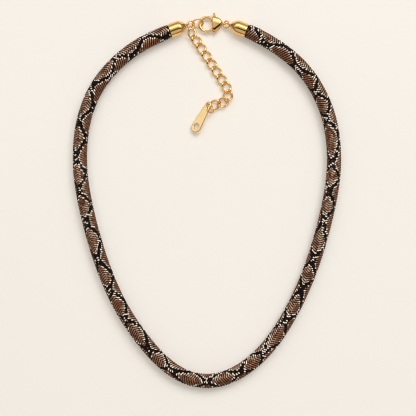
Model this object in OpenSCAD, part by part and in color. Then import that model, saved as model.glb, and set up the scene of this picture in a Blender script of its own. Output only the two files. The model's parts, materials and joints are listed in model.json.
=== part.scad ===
// Snake necklace: a round snakeskin cord closed by a lobster clasp, with an extender chain and tag.
// It lies flat. X runs across the loop, Y up towards the clasp, and Z up from the table.
// The origin is on the table, at the middle of the loop's length and width.

/* [Cord] */
// Diameter of the cord
cord_d = 6.4; // [6.2:0.1:6.6]
// Diameter of the cord at the mouth of an end cap
cord_neck_d = 5.9; // [5.7:0.1:6]
// Diameter of the cord inside an end cap
cord_seat_d = 5.2; // [4.8:0.1:5.2]
// Length over which the cord swells from a cap's mouth to its full diameter
cord_swell = 6; // [4:1:10]

/* [End caps] */
// Outside diameter of an end cap
cap_d = 6.1; // [6:0.05:6.2]
// Wall of an end cap
cap_wall = 0.35; // [0.3:0.05:0.35]
// Length of a cap's straight barrel
cap_barrel = 4.8; // [4.6:0.1:5.2]
// Length of a cap from its mouth to the end of its nose
cap_length = 7.3; // [7:0.1:7.4]
// Depth of the bore that holds the cord
cap_bore_depth = 4.2; // [4:0.1:4.5]
// Diameter of the end of a cap's nose
nose_d = 2.2; // [2:0.1:2.4]
// Distance from a cap's mouth to the middle of its eye
cap_reach = 8; // [7.9:0.05:8.1]
// Angle of each cap to the X axis
cap_turn = 21; // [20:1:22]

/* [Rings] */
// Wire diameter of the jump rings and of the eyes
ring_wire = 0.7; // [0.6:0.05:0.7]
// Wire diameter of the ring that carries the tag
tag_ring_wire = 0.6; // [0.5:0.05:0.6]
// Radius of an eye, to the middle of its wire
eye_r = 0.95; // [0.9:0.05:1]
// Radius of the jump ring in the left cap, to the middle of its wire
ring_left_r = 1.7; // [1.65:0.05:1.75]
// Radius of the ring that the clasp closes on
ring_clasp_r = 2.4; // [2.35:0.05:2.45]
// Radius of the jump ring in the right cap
ring_right_r = 1.5; // [1.45:0.05:1.55]
// Radius of the ring that carries the tag
ring_tag_r = 2.05; // [2:0.05:2.1]

/* [Chain] */
// Wire diameter of a chain link
link_wire = 0.95; // [0.85:0.05:0.95]
// Half the length of a link, to the middle of its wire
link_half_l = 2.61; // [2.6:0.01:2.62]
// Half the width of a link, to the middle of its wire
link_half_w = 1.85; // [1.8:0.05:1.9]
// Twist of each end of a link out of its plane
link_twist = 45; // [40:1:50]

/* [Tag] */
// Distance between the middles of the tag's two round ends
tag_span = 11.2; // [11:0.1:11.4]
// Radius of the tag's top end
tag_top_r = 1.55; // [1.55:0.05:1.6]
// Radius of the tag's bottom end
tag_low_r = 2.45; // [2.3:0.05:2.5]
// Thickness of the tag at its top end
tag_top_t = 0.95; // [0.85:0.05:0.95]
// Thickness of the tag at its bottom end
tag_low_t = 1.5; // [1.2:0.1:1.5]
// Width of the bevel round the tag's edges
tag_bevel = 0.3; // [0.2:0.05:0.35]
// Diameter of the hole that the ring passes through
tag_eye_d = 1.7; // [1.7:0.05:1.8]
// Diameter of the round hole near the bottom
tag_hole_d = 2.8; // [2.6:0.1:3]

/* [Clasp] */
// Radius of the claw, to the middle of its rod
claw_r = 3.15; // [3.1:0.05:3.2]
// Angle of the clasp to the X axis
clasp_turn = 2; // [0:1:3]
// Thickness of the lever
lever_t = 1.1; // [1:0.05:1.1]
// Clearance on each side of the lever
lever_gap = 0.12; // [0.1:0.01:0.15]
// Gap between the claw's tip and the end of the lever's gate
tip_gap = 0.15; // [0.1:0.05:0.2]
// Diameter of the pin that the lever turns on
pin_d = 0.9; // [0.8:0.05:0.9]
// Length of the pin
pin_l = 3.1; // [2.9:0.1:3.1]

/* [Hidden] */
$fn = 48;
gold = "#d8a23c";
bright_gold = "#efc766";
skin_brown = "#5a3a2c";
// Height of a cutting cylinder that passes right through
through = 8;

// The caps' mouths, at the cord's height
cord_z = cord_d / 2;
mouth_left = [-16.3, 74.6];
mouth_right = [17.35, 74.8];

// Control points of the cord's middle line, down the left side and up the right, as [x, y]
route = [
    [-31, 68], [-41, 60], [-49, 50], [-54, 38], [-56, 25.5], [-56, 12.5], [-54, 0], [-51, -12.5],
    [-47.5, -24.5], [-43, -36.5], [-37.5, -48], [-30.5, -58.5], [-22.5, -68.5], [-12.5, -77],
    [0, -80.5],
    [12.5, -77], [23, -69], [31, -59.5], [37.5, -48.5], [43, -37], [47.5, -25], [51, -13],
    [54, -0.5], [56, 12], [56, 24.5], [54, 37], [49, 49], [41.5, 59.5], [31.5, 67.5]];
// Distances out of a mouth, along the cap's axis, of the control points in and near a cap
mouth_steps = [-3.5, 0.5, 4.5];
cord_sides = 12;
rings_per_span = 2;
// The cord's rings inside a cap and at its mouth, from the inner end out, as [distance out, radius]
seat_rings = [[-3.5, cord_seat_d / 2], [0.1, cord_seat_d / 2], [0.15, cord_neck_d / 2]];

// The cap's outline behind its barrel and at its mouth and nose
mouth_edge = 0.1;
shoulder_l = 0.45;
barrel_drop = 0.12;
shoulder_drop = 0.4;
nose_edge = 0.15;

// The rings' places, as [x, y, z, turn about Y, turn about X]
ring_left_at = [-7.2, 77.5, 2.6, 16, 4];
ring_clasp_at = [-4.1, 78.2, 2.3, 13, 52];
ring_right_at = [8.7, 77.65, 2.35, -33, 7];
ring_tag_at = [1.25, 40.55, 2.3, 42, -18];
wire_facets = 24;

// The chain's links, as [x, y, z, heading, pitch, roll]: three by the clasp, a straight run, and four
// that turn round to the tag
lead_links = [
    [-6.65, 74.25, 2.1, -78, -15, -33],
    [-4.8, 70.7, 1.45, -55, -2, -15],
    [-2.55, 67.25, 1.3, -57, -3, -3]];
run_links = 4;
run_start = [-0.2, 63.8];
run_heading = -57;
run_height = 1.2;
link_pitch = 4.1;
turn_links = [
    [8.6, 50, 1.3, -67, 2, 1],
    [9.3, 46.2, 1.4, -102, 8, 5],
    [7, 43.4, 1.35, -154, -2, 1],
    [3.4, 42.3, 1.25, -153, -1, 0]];
chain = concat(
    lead_links,
    [for (i = [0:run_links - 1])
        [run_start[0] + i * link_pitch * cos(run_heading), run_start[1] + i * link_pitch * sin(run_heading),
            run_height, run_heading, 0, 0]],
    turn_links);
link_stations = 16;
wire_sides = 6;

// The tag, by the middle of its small hole
tag_at = [0.55, 42.15, 2.1];
tag_turn = -28;
tag_roll = -26;
tag_pitch = 2;
// Height of the top end's middle above the small hole, and of the round hole above the bottom end's
tag_eye_drop = 0.1;
tag_hole_rise = 0.5;
tag_facets = 32;

// The clasp, by the middle of its claw, and the middle of its tail eye along its axis
clasp_at = [-0.05, 77.8, 1.75];
tail_x = 7.5;
// The claw's sections along its arc, as [angle, half width, half thickness]
claw_sections = [
    [38, 0.8, 1.45], [48, 0.75, 1.3], [60, 0.7, 1], [75, 0.66, 0.82], [95, 0.64, 0.74],
    [115, 0.68, 0.72], [135, 0.72, 0.7], [155, 0.74, 0.7], [180, 0.74, 0.7], [205, 0.72, 0.7],
    [225, 0.68, 0.68], [245, 0.6, 0.62], [264, 0.52, 0.55]];
claw_sides = 10;
// The clasp's shell from the claw to the tail, as [x, lowest y, highest y, half thickness]
shell_sections = [
    [2.3, -3.1, 3.1, 1.1], [2.7, -3.6, 3.45, 1.4], [3.6, -3.45, 3.4, 1.55], [4.6, -2.9, 3.1, 1.6],
    [5.6, -2.05, 2.65, 1.5], [6.4, -1.15, 1.85, 1.2], [7, -0.5, 0.8, 0.75]];
shell_sides = 16;
// The groove in each face of the shell, as [x, y, radius] at its ends, and the height of its floor
groove_ends = [[3.4, -2.25, 0.42], [6.5, 0.4, 0.18]];
groove_floor = 1.05;

// The lever: its pin, the play round it, and its gate, which follows the claw's arc
pivot = [4.5, 0.2];
pin_play = 0.04;
gate_in_r = 2.6;
gate_out_r = 3.7;
gate_from = -118;
gate_to = -44;
gate_steps = 8;
// Distance from the pin to the end of the gate
gate_reach = 6.1;
// The lever's back edge, from the gate round the heel and the pin to the thumb tab and down again
lever_back = [
    [3, -3.2], [3.2, -4], [3.55, -4.2], [3.9, -4.05], [4.2, -3.4], [5.3, -0.8], [5.5, 0.2],
    [5.1, 1.2], [4.05, 3.6], [3.75, 4.8], [3.4, 5], [3.05, 4.9], [2.9, 4.5], [2.95, 3.4], [3.3, 0.6]];
// The slot that the lever lies in: its ends along the clasp's axis, and half its height
slot_from = 2;
slot_to = 6;
slot_half = 5;
// The box round the claw's tip, in which the tip is cut back from the gate, as its corners
tip_box = [[-1.7, -4.5], [1.5, -1.6]];

// A unit vector along v
function unit(v) = v / norm(v);
// A point of a cubic B-spline span with control points a, b, c and d
function spline(a, b, c, d, t) = (pow(1 - t, 3) * a + (3 * pow(t, 3) - 6 * t * t + 4) * b
    + (-3 * pow(t, 3) + 3 * t * t + 3 * t + 1) * c + pow(t, 3) * d) / 6;
// A closed ring of points round centre, in the plane of the unit vectors u and v
function ring_of(centre, u, v, ru, rv, sides) =
    [for (j = [0:sides - 1]) let (a = 360 * j / sides) centre + ru * cos(a) * u + rv * sin(a) * v];
// Points along an arc of radius r about the origin
function arc(r, from, to, steps) =
    [for (i = [0:steps]) let (a = from + (to - from) * i / steps) r * [cos(a), sin(a)]];

// A solid skinned over a stack of rings; closed joins the last ring to the first
module skin(rings, closed = false) {
    n = len(rings[0]);
    m = len(rings);
    sides = [for (i = [0:(closed ? m - 1 : m - 2)], j = [0:n - 1])
        let (k = (i + 1) % m, l = (j + 1) % n, a = i * n + j, b = i * n + l, c = k * n + l, d = k * n + j)
        each [[a, d, c], [a, c, b]]];
    ends = closed ? [] : [[for (j = [0:n - 1]) j], [for (j = [n - 1:-1:0]) (m - 1) * n + j]];
    polyhedron([for (r = rings) each r], concat(sides, ends), convexity = 10);
}

// A round wire bent into a ring of radius r, lying in the XY plane
module wire_ring(r, wire = ring_wire) {
    rotate_extrude() translate([r, 0]) circle(d = wire, $fn = wire_facets);
}

// An eye that stands upright along X
module eye() {
    rotate([90, 0, 0]) wire_ring(eye_r);
}

// The cord

cap_left_u = [cos(cap_turn), sin(cap_turn)];
cap_right_u = [-cos(cap_turn), sin(cap_turn)];
control = concat(
    [for (d = mouth_steps) mouth_left - d * cap_left_u],
    route,
    [for (i = [len(mouth_steps) - 1:-1:0]) mouth_right - mouth_steps[i] * cap_right_u]);
free_line = concat(
    [for (i = [0:len(control) - 4], s = [0:rings_per_span - 1])
        spline(control[i], control[i + 1], control[i + 2], control[i + 3], s / rings_per_span)],
    [mouth_right - mouth_steps[1] * cap_right_u]);

// Radius of the cord at a distance out of the nearer mouth
function cord_radius(d) = let (t = min(1, max(0, d / cord_swell)))
    cord_neck_d / 2 + (cord_d - cord_neck_d) / 2 * t * (2 - t);
// A cord ring at p, square to the direction u
function cord_ring(p, u, r) =
    ring_of([p[0], p[1], cord_z], [-u[1], u[0], 0], [0, 0, 1], r, r, cord_sides);

module cord() {
    last = len(free_line) - 1;
    color(skin_brown) skin(concat(
        [for (s = seat_rings) cord_ring(mouth_left - s[0] * cap_left_u, -cap_left_u, s[1])],
        [for (i = [0:last])
            let (p = free_line[i],
                u = i == 0 ? -cap_left_u : i == last ? cap_right_u
                    : unit(free_line[i + 1] - free_line[i - 1]))
            cord_ring(p, u, cord_radius(min(norm(p - mouth_left), norm(p - mouth_right))))],
        [for (i = [len(seat_rings) - 1:-1:0])
            let (s = seat_rings[i]) cord_ring(mouth_right - s[0] * cap_right_u, cap_right_u, s[1])]));
}

// The end caps

module cap() {
    r = cap_d / 2;
    nose_r = nose_d / 2;
    rotate([0, 90, 0]) rotate_extrude() polygon([
        [r - cap_wall, 0], [r - mouth_edge, 0], [r, mouth_edge], [r, cap_barrel - shoulder_l],
        [r - barrel_drop, cap_barrel], [r - shoulder_drop, cap_barrel + shoulder_l],
        [nose_r, cap_length - nose_edge], [nose_r - nose_edge, cap_length], [0, cap_length],
        [0, cap_bore_depth], [r - cap_wall, cap_bore_depth]]);
    translate([cap_reach, 0, 0]) eye();
}

module cap_left() {
    color(gold) translate([mouth_left[0], mouth_left[1], cord_z]) rotate([0, 0, cap_turn]) cap();
}

module cap_right() {
    color(gold) translate([mouth_right[0], mouth_right[1], cord_z]) rotate([0, 0, 180 - cap_turn]) cap();
}

// The rings

module place_ring(at) {
    translate([at[0], at[1], at[2]]) rotate([0, at[3], 0]) rotate([at[4], 0, 0]) children();
}

module ring_left() {
    color(gold) place_ring(ring_left_at) wire_ring(ring_left_r);
}

module ring_clasp() {
    color(gold) place_ring(ring_clasp_at) wire_ring(ring_clasp_r);
}

module ring_right() {
    color(gold) place_ring(ring_right_at) wire_ring(ring_right_r);
}

module ring_tag() {
    color(gold) place_ring(ring_tag_at) wire_ring(ring_tag_r, tag_ring_wire);
}

// The chain

// A point on a link's middle line: an oval whose ends are twisted out of its plane, opposite ways
function link_point(t) = let (turn = link_twist * cos(t))
    [link_half_l * cos(t), link_half_w * sin(t) * cos(turn), link_half_w * sin(t) * sin(turn)];

module link(at) {
    rings = [for (i = [0:link_stations - 1])
        let (t = 360 * i / link_stations,
            ahead = unit(link_point(t + 1) - link_point(t - 1)),
            turn = link_twist * cos(t),
            side = unit(cross(ahead, [0, -sin(turn), cos(turn)])))
        ring_of(link_point(t), side, cross(ahead, side), link_wire / 2, link_wire / 2, wire_sides)];
    color(gold) translate([at[0], at[1], at[2]]) rotate([0, 0, at[3]]) rotate([0, -at[4], 0])
        rotate([at[5], 0, 0]) skin(rings, closed = true);
}

// The tag, built along Y with its small hole at the origin

module tag_end(y, r, t) {
    translate([0, y, 0]) {
        cylinder(r = r, h = t - 2 * tag_bevel, center = true, $fn = tag_facets);
        cylinder(r = r - tag_bevel, h = t, center = true, $fn = tag_facets);
    }
}

module tag() {
    low_y = tag_eye_drop - tag_span;
    color(bright_gold) translate(tag_at) rotate([0, 0, tag_turn]) rotate([tag_pitch, 0, 0])
        rotate([0, tag_roll, 0]) difference() {
            hull() {
                tag_end(tag_eye_drop, tag_top_r, tag_top_t);
                tag_end(low_y, tag_low_r, tag_low_t);
            }
            cylinder(d = tag_eye_d, h = through, center = true);
            translate([0, low_y + tag_hole_rise, 0]) cylinder(d = tag_hole_d, h = through, center = true);
        }
}

// The clasp, built with the middle of its claw at the origin and its tail along X

module place_clasp() {
    translate(clasp_at) rotate([0, 0, clasp_turn]) children();
}

// A round bar on the lever's axis
module on_pivot(d, h) {
    translate([pivot[0], pivot[1], 0]) cylinder(d = d, h = h, center = true);
}

// The claw, its tip cut back to an arc about the pin so that the gate swings clear of it
module claw() {
    difference() {
        skin([for (s = claw_sections)
            let (out = [cos(s[0]), sin(s[0]), 0])
            ring_of(claw_r * out, out, [0, 0, -1], s[1], s[2], claw_sides)]);
        intersection() {
            translate([tip_box[0][0], tip_box[0][1], -through / 2])
                cube([tip_box[1][0] - tip_box[0][0], tip_box[1][1] - tip_box[0][1], through]);
            on_pivot(2 * (gate_reach + tip_gap), through);
        }
    }
}

// A ring of the shell, squarer than an ellipse
function shell_ring(s) =
    let (mid = (s[1] + s[2]) / 2, half = (s[2] - s[1]) / 2)
    [for (j = [0:shell_sides - 1]) let (a = 360 * j / shell_sides, c = cos(a), d = sin(a))
        [s[0], mid + half * sign(c) * pow(abs(c), 0.8), s[3] * sign(d) * pow(abs(d), 0.7)]];

module shell() {
    difference() {
        skin([for (s = shell_sections) shell_ring(s)]);
        for (side = [-1, 1]) hull() for (g = groove_ends)
            translate([g[0], g[1], side * (groove_floor + through / 2)])
                cylinder(r = g[2], h = through, center = true, $fn = tag_facets);
    }
}

module clasp_body() {
    slot_t = lever_t + 2 * lever_gap;
    color(gold) place_clasp() difference() {
        union() {
            claw();
            shell();
            translate([tail_x, 0, 0]) eye();
        }
        translate([slot_from, -slot_half, -slot_t / 2]) cube([slot_to - slot_from, 2 * slot_half, slot_t]);
        on_pivot(pin_d + 2 * pin_play, through);
    }
}

// The lever's outline: the gate, the heel, the stretch round the pin, and the thumb tab
module lever_outline() {
    intersection() {
        polygon(concat(
            arc(gate_out_r, gate_from, gate_to, gate_steps), lever_back,
            arc(gate_in_r, gate_to, gate_from, gate_steps)));
        translate(pivot) circle(r = gate_reach);
    }
}

module clasp_lever() {
    color(gold) place_clasp() difference() {
        translate([0, 0, -lever_t / 2]) linear_extrude(lever_t) lever_outline();
        on_pivot(pin_d + 2 * pin_play, through);
    }
}

module clasp_pin() {
    color(bright_gold) place_clasp() on_pivot(pin_d, pin_l);
}

cord();
cap_left();
cap_right();
ring_left();
ring_clasp();
link(chain[0]);  // link_01
link(chain[1]);  // link_02
link(chain[2]);  // link_03
link(chain[3]);  // link_04
link(chain[4]);  // link_05
link(chain[5]);  // link_06
link(chain[6]);  // link_07
link(chain[7]);  // link_08
link(chain[8]);  // link_09
link(chain[9]);  // link_10
link(chain[10]);  // link_11
ring_tag();
tag();
ring_right();
clasp_body();
clasp_lever();
clasp_pin();
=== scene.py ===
# %% [markdown]
# # Snake necklace
#
# A round cord with a snakeskin surface lies closed on a table. Two gold end caps hold its ends, a
# lobster clasp joins them, and an extender chain with a small tag hangs from the left cap's ring.
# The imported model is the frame. Every piece made here takes its place from it, in metres, and each
# one stands for a plain solid of the same name and size.

# %% Load the frame
import json
import math
import bpy
import bmesh
import numpy as np
from mathutils import Matrix, Vector

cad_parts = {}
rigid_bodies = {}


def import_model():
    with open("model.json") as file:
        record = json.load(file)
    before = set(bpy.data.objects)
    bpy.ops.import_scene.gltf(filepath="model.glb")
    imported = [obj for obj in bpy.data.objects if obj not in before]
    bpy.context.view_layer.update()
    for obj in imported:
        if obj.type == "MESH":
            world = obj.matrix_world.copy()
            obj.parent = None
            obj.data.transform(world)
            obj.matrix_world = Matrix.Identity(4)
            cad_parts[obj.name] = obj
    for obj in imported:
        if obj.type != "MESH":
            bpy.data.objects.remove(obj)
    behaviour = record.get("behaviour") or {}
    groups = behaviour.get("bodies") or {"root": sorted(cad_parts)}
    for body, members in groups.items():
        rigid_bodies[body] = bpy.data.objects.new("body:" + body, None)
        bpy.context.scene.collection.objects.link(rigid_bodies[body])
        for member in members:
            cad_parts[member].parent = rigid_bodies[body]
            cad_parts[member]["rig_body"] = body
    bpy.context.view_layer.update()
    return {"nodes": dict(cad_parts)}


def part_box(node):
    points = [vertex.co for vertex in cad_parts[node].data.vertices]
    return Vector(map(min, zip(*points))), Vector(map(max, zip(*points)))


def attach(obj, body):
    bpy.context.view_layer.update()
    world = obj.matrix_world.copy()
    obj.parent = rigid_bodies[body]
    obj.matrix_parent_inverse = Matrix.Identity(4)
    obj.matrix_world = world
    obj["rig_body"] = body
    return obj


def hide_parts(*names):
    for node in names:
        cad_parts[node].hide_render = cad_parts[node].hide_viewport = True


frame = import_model()
MM = 0.001

# %% [markdown]
# ## Where the camera stands
#
# The necklace was photographed from straight above, close enough that the walls of the clasp that
# face the picture's middle show. So the camera looks straight down from less than half a metre, and
# its lens is worked out from the width that the picture covers at the height of the cord's middle.

# %% Camera
PHOTO_SIDE = 416
PIXEL = 0.44 * MM
ORIGIN_PIXEL = (207, 200.7)
CAMERA_HEIGHT = 0.45
CORD_Z = 3.2 * MM

eye = bpy.data.cameras.new("camera")
eye.lens = eye.sensor_width * CAMERA_HEIGHT / (PHOTO_SIDE * PIXEL)
eye.clip_start = 0.02
camera = bpy.data.objects.new("camera", eye)
camera.location = (
    (PHOTO_SIDE / 2 - ORIGIN_PIXEL[0]) * PIXEL,
    (ORIGIN_PIXEL[1] - PHOTO_SIDE / 2) * PIXEL,
    CORD_Z + CAMERA_HEIGHT)
bpy.context.scene.collection.objects.link(camera)
bpy.context.scene.camera = camera
print("lens:", round(eye.lens, 1), "mm")

# %% [markdown]
# ## The line that the cord follows
#
# A soft cord has no corners, so its middle line is one smooth curve. A cubic B-spline never
# overshoots its control points, which makes it a calm choice for something that lies loosely. The
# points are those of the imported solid: a short straight stretch inside each cap, and the loop.

# %% The cord's route
ROUTE = [
    (-31, 68), (-41, 60), (-49, 50), (-54, 38), (-56, 25.5), (-56, 12.5), (-54, 0), (-51, -12.5),
    (-47.5, -24.5), (-43, -36.5), (-37.5, -48), (-30.5, -58.5), (-22.5, -68.5), (-12.5, -77),
    (0, -80.5),
    (12.5, -77), (23, -69), (31, -59.5), (37.5, -48.5), (43, -37), (47.5, -25), (51, -13),
    (54, -0.5), (56, 12), (56, 24.5), (54, 37), (49, 49), (41.5, 59.5), (31.5, 67.5)]
CAP_TURN = math.radians(21)
MOUTH_LEFT = np.array([-16.3, 74.6])
MOUTH_RIGHT = np.array([17.35, 74.8])
INTO_LEFT = np.array([math.cos(CAP_TURN), math.sin(CAP_TURN)])
INTO_RIGHT = np.array([-math.cos(CAP_TURN), math.sin(CAP_TURN)])
MOUTH_STEPS = (-3.5, 0.5, 4.5)
SEAT_LENGTH = 3.5
SEAT_POINTS = 5
SPAN_STEPS = 14


def spline_line(control, steps):
    """Points of the cubic B-spline with these control points, steps of them to a span."""
    line = []
    for a, b, c, d in zip(control, control[1:], control[2:], control[3:]):
        for t in np.arange(steps) / steps:
            line.append((
                (1 - t) ** 3 * a + (3 * t ** 3 - 6 * t * t + 4) * b
                + (-3 * t ** 3 + 3 * t * t + 3 * t + 1) * c + t ** 3 * d) / 6)
    return line


control = (
    [MOUTH_LEFT - d * INTO_LEFT for d in MOUTH_STEPS]
    + [np.array(p) for p in ROUTE]
    + [MOUTH_RIGHT - d * INTO_RIGHT for d in reversed(MOUTH_STEPS)])
seat_steps = np.linspace(-SEAT_LENGTH, 0, SEAT_POINTS)
cord_line = [
    Vector((x * MM, y * MM, CORD_Z)) for x, y in
    [MOUTH_LEFT - d * INTO_LEFT for d in seat_steps]
    + spline_line(control, SPAN_STEPS)
    + [MOUTH_RIGHT - d * INTO_RIGHT for d in reversed(seat_steps)]]
cord_length = sum((b - a).length for a, b in zip(cord_line, cord_line[1:]))
print("cord:", len(cord_line), "points,", round(cord_length / MM, 1), "mm with both seats")

# %% [markdown]
# ## Small tools for node trees
#
# Geometry Nodes and shader trees hold a lot of arithmetic, and it is hard to read when each sum is a
# node of its own. So an output of a node is wrapped in a term here. Terms can be added, multiplied
# and compared like plain numbers, and each such step adds one Math node to their tree.


# %% Terms
class Term:
    """An output of a node, for use in sums or as the input of another node."""

    def __init__(self, tree, socket):
        self.tree, self.socket = tree, socket

    def __add__(self, other):
        return calc("ADD", self, other)

    def __sub__(self, other):
        return calc("SUBTRACT", self, other)

    def __rsub__(self, other):
        return calc("SUBTRACT", other, self)

    def __mul__(self, other):
        return calc("MULTIPLY", self, other)

    def __truediv__(self, other):
        return calc("DIVIDE", self, other)

    def __rtruediv__(self, other):
        return calc("DIVIDE", other, self)

    def __pow__(self, other):
        return calc("POWER", self, other)

    def __gt__(self, other):
        return calc("GREATER_THAN", self, other)

    def __lt__(self, other):
        return calc("LESS_THAN", self, other)

    def also(self, name):
        """Another output of the same node."""
        return Term(self.tree, self.socket.node.outputs[name])

    def into(self, socket):
        """Joins the term to an input."""
        self.tree.links.new(self.socket, socket)


def set_all(thing, settings):
    """Gives a node or a modifier its settings."""
    for key, value in settings.items():
        setattr(thing, key, value)


def add(tree, kind, inputs=(), out=0, **settings):
    """Adds a node, sets or joins its inputs, and returns one of its outputs."""
    made = tree.nodes.new(kind)
    set_all(made, settings)
    for key, value in (inputs.items() if isinstance(inputs, dict) else enumerate(inputs)):
        if isinstance(value, Term):
            value.into(made.inputs[key])
        else:
            made.inputs[key].default_value = value
    return Term(tree, made.outputs[out])


def calc(operation, *values):
    """A Math node with these values, at least one of which is a term."""
    tree = next(value.tree for value in values if isinstance(value, Term))
    return add(tree, "ShaderNodeMath", values, operation=operation)


def clamp(term, most=1):
    """The term, but not below 0 and not above most."""
    return calc("MINIMUM", calc("MAXIMUM", term, 0), most)


# %% [markdown]
# The other helpers open a node group with named inputs and outputs, run a geometry tree and keep its
# result as a plain mesh, and let a finished piece take the place of its plain solids.


# %% Groups and pieces
def open_group(name, kind, inputs, outputs):
    """A new node group, the terms of its inputs, and the sockets of its outputs.

    Each input is given by its starting value, or by its type where it has none.
    """
    tree = bpy.data.node_groups.new(name, kind)
    for label, start in inputs.items():
        typed = start if isinstance(start, str) else "Int" if isinstance(start, int) else "Float"
        socket = tree.interface.new_socket(label, in_out="INPUT", socket_type="NodeSocket" + typed)
        if start != typed:
            socket.default_value = start
    for label, typed in outputs.items():
        tree.interface.new_socket(label, in_out="OUTPUT", socket_type="NodeSocket" + typed)
    entry = tree.nodes.new("NodeGroupInput")
    given = {label: Term(tree, entry.outputs[label]) for label in inputs}
    return tree, given, tree.nodes.new("NodeGroupOutput").inputs


def open_tree(name, inputs):
    """A new geometry tree, the terms of its inputs, and the socket of its result."""
    tree, given, result = open_group(
        name, "GeometryNodeTree", {"Geometry": "Geometry", **inputs}, {"Geometry": "Geometry"})
    return tree, given, result["Geometry"]


def dress(instances, material):
    """Makes instances real and gives them a material, as the last two steps of a geometry tree."""
    mesh = add(instances.tree, "GeometryNodeRealizeInstances", [instances])
    return add(mesh.tree, "GeometryNodeSetMaterial", {"Geometry": mesh, "Material": material})


def show(name, data):
    """An object with this data, in the scene."""
    made = bpy.data.objects.new(name, data)
    bpy.context.scene.collection.objects.link(made)
    return made


def grow(name, data, tree, values):
    """Runs a geometry tree on new object data and returns its result as a plain mesh object."""
    seed = show(name + "_seed", data)
    modifier = seed.modifiers.new("tree", "NODES")
    modifier.node_group = tree
    for socket in tree.interface.items_tree:
        if socket.in_out == "INPUT" and socket.name in values:
            modifier[socket.identifier] = values[socket.name]
    depsgraph = bpy.context.evaluated_depsgraph_get()
    mesh = bpy.data.meshes.new_from_object(seed.evaluated_get(depsgraph))
    bpy.data.objects.remove(seed)
    mesh.name = name
    return show(name, mesh)


def settle(piece, slot, *nodes):
    """Lets a piece stand for CAD nodes, on their body, and says what it weighs in triangles."""
    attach(piece, frame["nodes"][nodes[0]]["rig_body"])
    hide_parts(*nodes)
    boxes = np.array([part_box(node) for node in nodes])
    low, high = boxes[:, 0].min(axis=0), boxes[:, 1].max(axis=0)
    points = np.array([v.co for v in piece.data.vertices])
    proud = max((low - points.min(axis=0)).max(), (points.max(axis=0) - high).max())
    triangles = sum(len(p.vertices) - 2 for p in piece.data.polygons)
    print(f"{piece.name}: {triangles} triangles, proud of its solid by {proud / MM:.2f} mm")


# %% [markdown]
# ## Snakeskin: what gives each scale its colour
#
# The print is a lattice of long ovals, four rows of them round the cord, each row shifted by half
# an oval. An oval is a brown saddle with a broken rim of cream dots. Black bands run between the
# ovals, and hold a few more dots, most of them where four ovals meet. Each scale also has a tone, a
# random number that decides whether it is such a dot, how warm its brown is, and how strongly a
# painted highlight pales it.

# %% Colours and sizes of the print
CORD_RADIUS = 3.2
BROWN = (0.145, 0.043, 0.013, 1)
TAN = (0.27, 0.096, 0.032, 1)
# Painted highlight: the pale colour that the brown saddles are painted towards along one band
HIGHLIGHT_PALE = (0.8, 0.61, 0.42, 1)
# Painted shade: the near-black foot of a saddle scale, in the gap between scales
SADDLE_FOOT_SHADE = (0.034, 0.012, 0.005, 1)
CREAM = (0.9, 0.8, 0.69, 1)
# Painted shade: the dark foot of a cream scale
CREAM_SHADE = (0.2, 0.12, 0.085, 1)
BLACK = (0.008, 0.005, 0.004, 1)
# Painted shade: the foot of a black scale
BAND_FOOT_SHADE = (0.004, 0.002, 0.001, 1)
CORE_DARK, CORE_LIGHT = (0.006, 0.004, 0.004, 1), (0.03, 0.014, 0.009, 1)
# What a point of the skin knows about itself: its scale's place and tone, and its own in the scale
POINT = {
    "Along": 0.0, "Around": 0.0, "Ahead": 0.0, "Aside": 0.0, "Swing": 0.0, "Tone": 0.5, "Crown": 1.0}
# The ovals: their length, how they wander, how square they are, and where saddle and rim end
OVALS = {
    "Period": 15.2 * MM, "Lattice Turn": 0.5, "Wanders": 17.0, "Drift": 1.1, "Roundness": 5.0,
    "Saddle": 0.715, "Rim": 0.835, "Raggedness": 0.07, "Fineness": 0.5}
# The dots, the patches, and a painted highlight: a band where the brown is painted pale
MARKS = {
    "Crossing": 0.8, "Crossing Dots": 0.5, "Stray Dots": 0.92, "Rim Gaps": 0.45,
    "Patches": 3.1, "Patch Pull": 0.4, "Fade": 3.4, "Highlight Luck": 0.5, "Highlight From": 1.55,
    "Strongest Highlight": 0.7, "Highlight Swing": 0.45, "Highlight Turn": 0.1, "Highlight Narrowness": 6.0}
# The finish: how the brown varies, and how rough, metallic and lacquered a scale is. Reshuffle
# makes a second random number out of a scale's tone.
FINISH = {
    "Warm By Oval": 0.4, "Warm By Scale": 0.6, "Satin": 0.24, "Satin Luck": 0.1, "Foil": 0.2,
    "Dull Bands": 0.9, "Reshuffle": 43.0}

# %% [markdown]
# Across a scale the print runs on at half its true pace. So most scales keep to one colour, and the
# rim breaks up into dots, but their edges follow its curve, as they do on the real cord. The oval
# that a point belongs to is found by rounding its place in the lattice, and a power sum of the two
# distances from the oval's middle makes an outline between a lozenge and a square.


# %% Place in the print
def print_place(given):
    """Where a point of a scale lies in the print, along and around the cord."""
    ahead, aside = given["Ahead"] * given["Fineness"], given["Aside"] * given["Fineness"]
    cosine, sine = calc("COSINE", given["Swing"]), calc("SINE", given["Swing"])
    along = given["Along"] + ahead * cosine - aside * sine
    around = given["Around"] - (ahead * sine + aside * cosine) / (CORD_RADIUS * MM)
    return along, around


def print_lattice(tree, given, share, run_length, quarter):
    """How far out a point is in its oval, how near a crossing, and a random number for the oval."""
    across = quarter + given["Lattice Turn"] + share
    wander = add(tree, "ShaderNodeTexNoise", {
        "W": share * given["Wanders"], "Scale": 1, "Detail": 1}, noise_dimensions="1D")
    run = run_length * 2 / given["Period"] + (wander - 0.5) * given["Drift"]
    sides = [(run + across) / 2, (run - across) / 2]
    cells = [calc("ROUND", side) for side in sides]
    off = [calc("ABSOLUTE", (side - cell) * 2) for side, cell in zip(sides, cells)]
    power = given["Roundness"]
    reach = (off[0] ** power + off[1] ** power) ** (1 / power)
    oval = add(tree, "ShaderNodeCombineXYZ", cells)
    oval_luck = add(tree, "ShaderNodeTexWhiteNoise", [oval], noise_dimensions="3D")
    return reach, calc("MINIMUM", *off), oval_luck
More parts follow.
